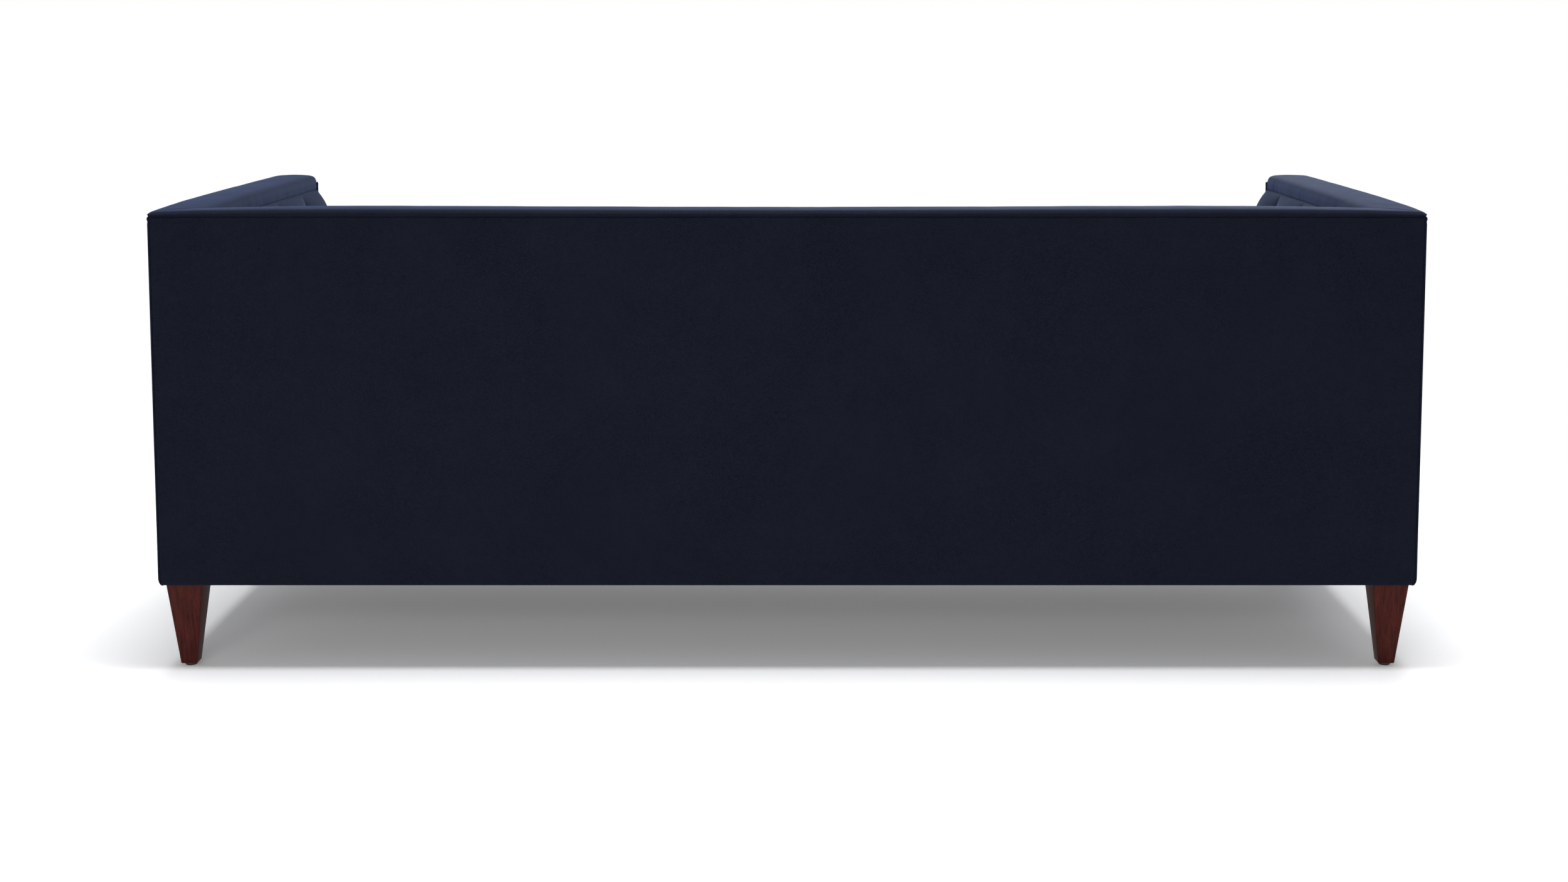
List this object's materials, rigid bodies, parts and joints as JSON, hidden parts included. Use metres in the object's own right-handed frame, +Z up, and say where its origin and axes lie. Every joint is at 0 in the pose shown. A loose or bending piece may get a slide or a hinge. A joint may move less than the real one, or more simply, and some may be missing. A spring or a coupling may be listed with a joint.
{
  "type": "tuxedo sofa",
  "caption": "Long upholstered sofa with arms as high as its back, a mitred padded cap all round, tufted inside pads, loose seat cushions and tapered square legs.",
  "frame": {"origin": "centre of the bounding box on the floor, between the four glides", "axes": "+X towards the sitter's left arm along the length, +Y towards the outside of the back, -Y is the front, +Z up"},
  "size_m": [2.134, 0.864, 0.787],
  "materials": {
    "navy_velvet": "matte",
    "stained_hardwood": "satin",
    "frame_timber": "matte",
    "black_nylon": "matte",
    "plated_steel": "satin",
    "jute_webbing": "matte",
    "grey_felt": "matte",
    "black_cambric": "matte",
    "seat_foam": "matte",
    "deck_cloth": "matte"
  },
  "bodies": {
    "sofa": {"arm_buttons_left": "navy_velvet", "arm_buttons_right": "navy_velvet", "arm_cap_left": "navy_velvet", "arm_cap_right": "navy_velvet", "arm_front_facing_left": "navy_velvet", "arm_front_facing_right": "navy_velvet", "arm_tack_rail_left": "frame_timber", "arm_tack_rail_right": "frame_timber", "arm_top_rail_left": "frame_timber", "arm_top_rail_right": "frame_timber", "arm_webbing_left": "jute_webbing", "arm_webbing_right": "jute_webbing", "back_buttons": "navy_velvet", "back_cap": "navy_velvet", "back_mid_posts": "frame_timber", "back_tack_rail": "frame_timber", "back_top_rail": "frame_timber", "back_webbing_horizontal": "jute_webbing", "back_webbing_vertical": "jute_webbing", "corner_blocks": "frame_timber", "deck_pad": "deck_cloth", "dust_cover": "black_cambric", "frame_dowels": "frame_timber", "front_border": "navy_velvet", "front_post_left": "frame_timber", "front_post_right": "frame_timber", "front_rail": "frame_timber", "hanger_bolts": "plated_steel", "inside_arm_pad_left": "navy_velvet", "inside_arm_pad_right": "navy_velvet", "inside_back_pad": "navy_velvet", "insulator_felt": "grey_felt", "leg_front_left": "stained_hardwood", "leg_front_right": "stained_hardwood", "leg_glides": "black_nylon", "leg_rear_left": "stained_hardwood", "leg_rear_right": "stained_hardwood", "outside_arm_panel_left": "navy_velvet", "outside_arm_panel_right": "navy_velvet", "outside_back_panel": "navy_velvet", "rear_post_left": "frame_timber", "rear_post_right": "frame_timber", "rear_rail": "frame_timber", "seat_springs": "plated_steel", "seat_stretchers": "frame_timber", "side_rail_left": "frame_timber", "side_rail_right": "frame_timber", "spring_clips": "plated_steel", "spring_tie_wires": "plated_steel", "t_nuts": "plated_steel"},
    "cushion_left": {"cushion_cover_left": "navy_velvet", "cushion_core_left": "seat_foam"},
    "cushion_centre": {"cushion_cover_centre": "navy_velvet", "cushion_core_centre": "seat_foam"},
    "cushion_right": {"cushion_cover_right": "navy_velvet", "cushion_core_right": "seat_foam"}
  },
  "joints": [
    {"name": "lift_cushion_left", "type": "slide", "parent": "sofa", "child": "cushion_left", "axis": [0, 0, 1], "range_m": [0, 0.48]},
    {"name": "lift_cushion_centre", "type": "slide", "parent": "sofa", "child": "cushion_centre", "axis": [0, 0, 1], "range_m": [0, 0.48]},
    {"name": "lift_cushion_right", "type": "slide", "parent": "sofa", "child": "cushion_right", "axis": [0, 0, 1], "range_m": [0, 0.48]}
  ]
}
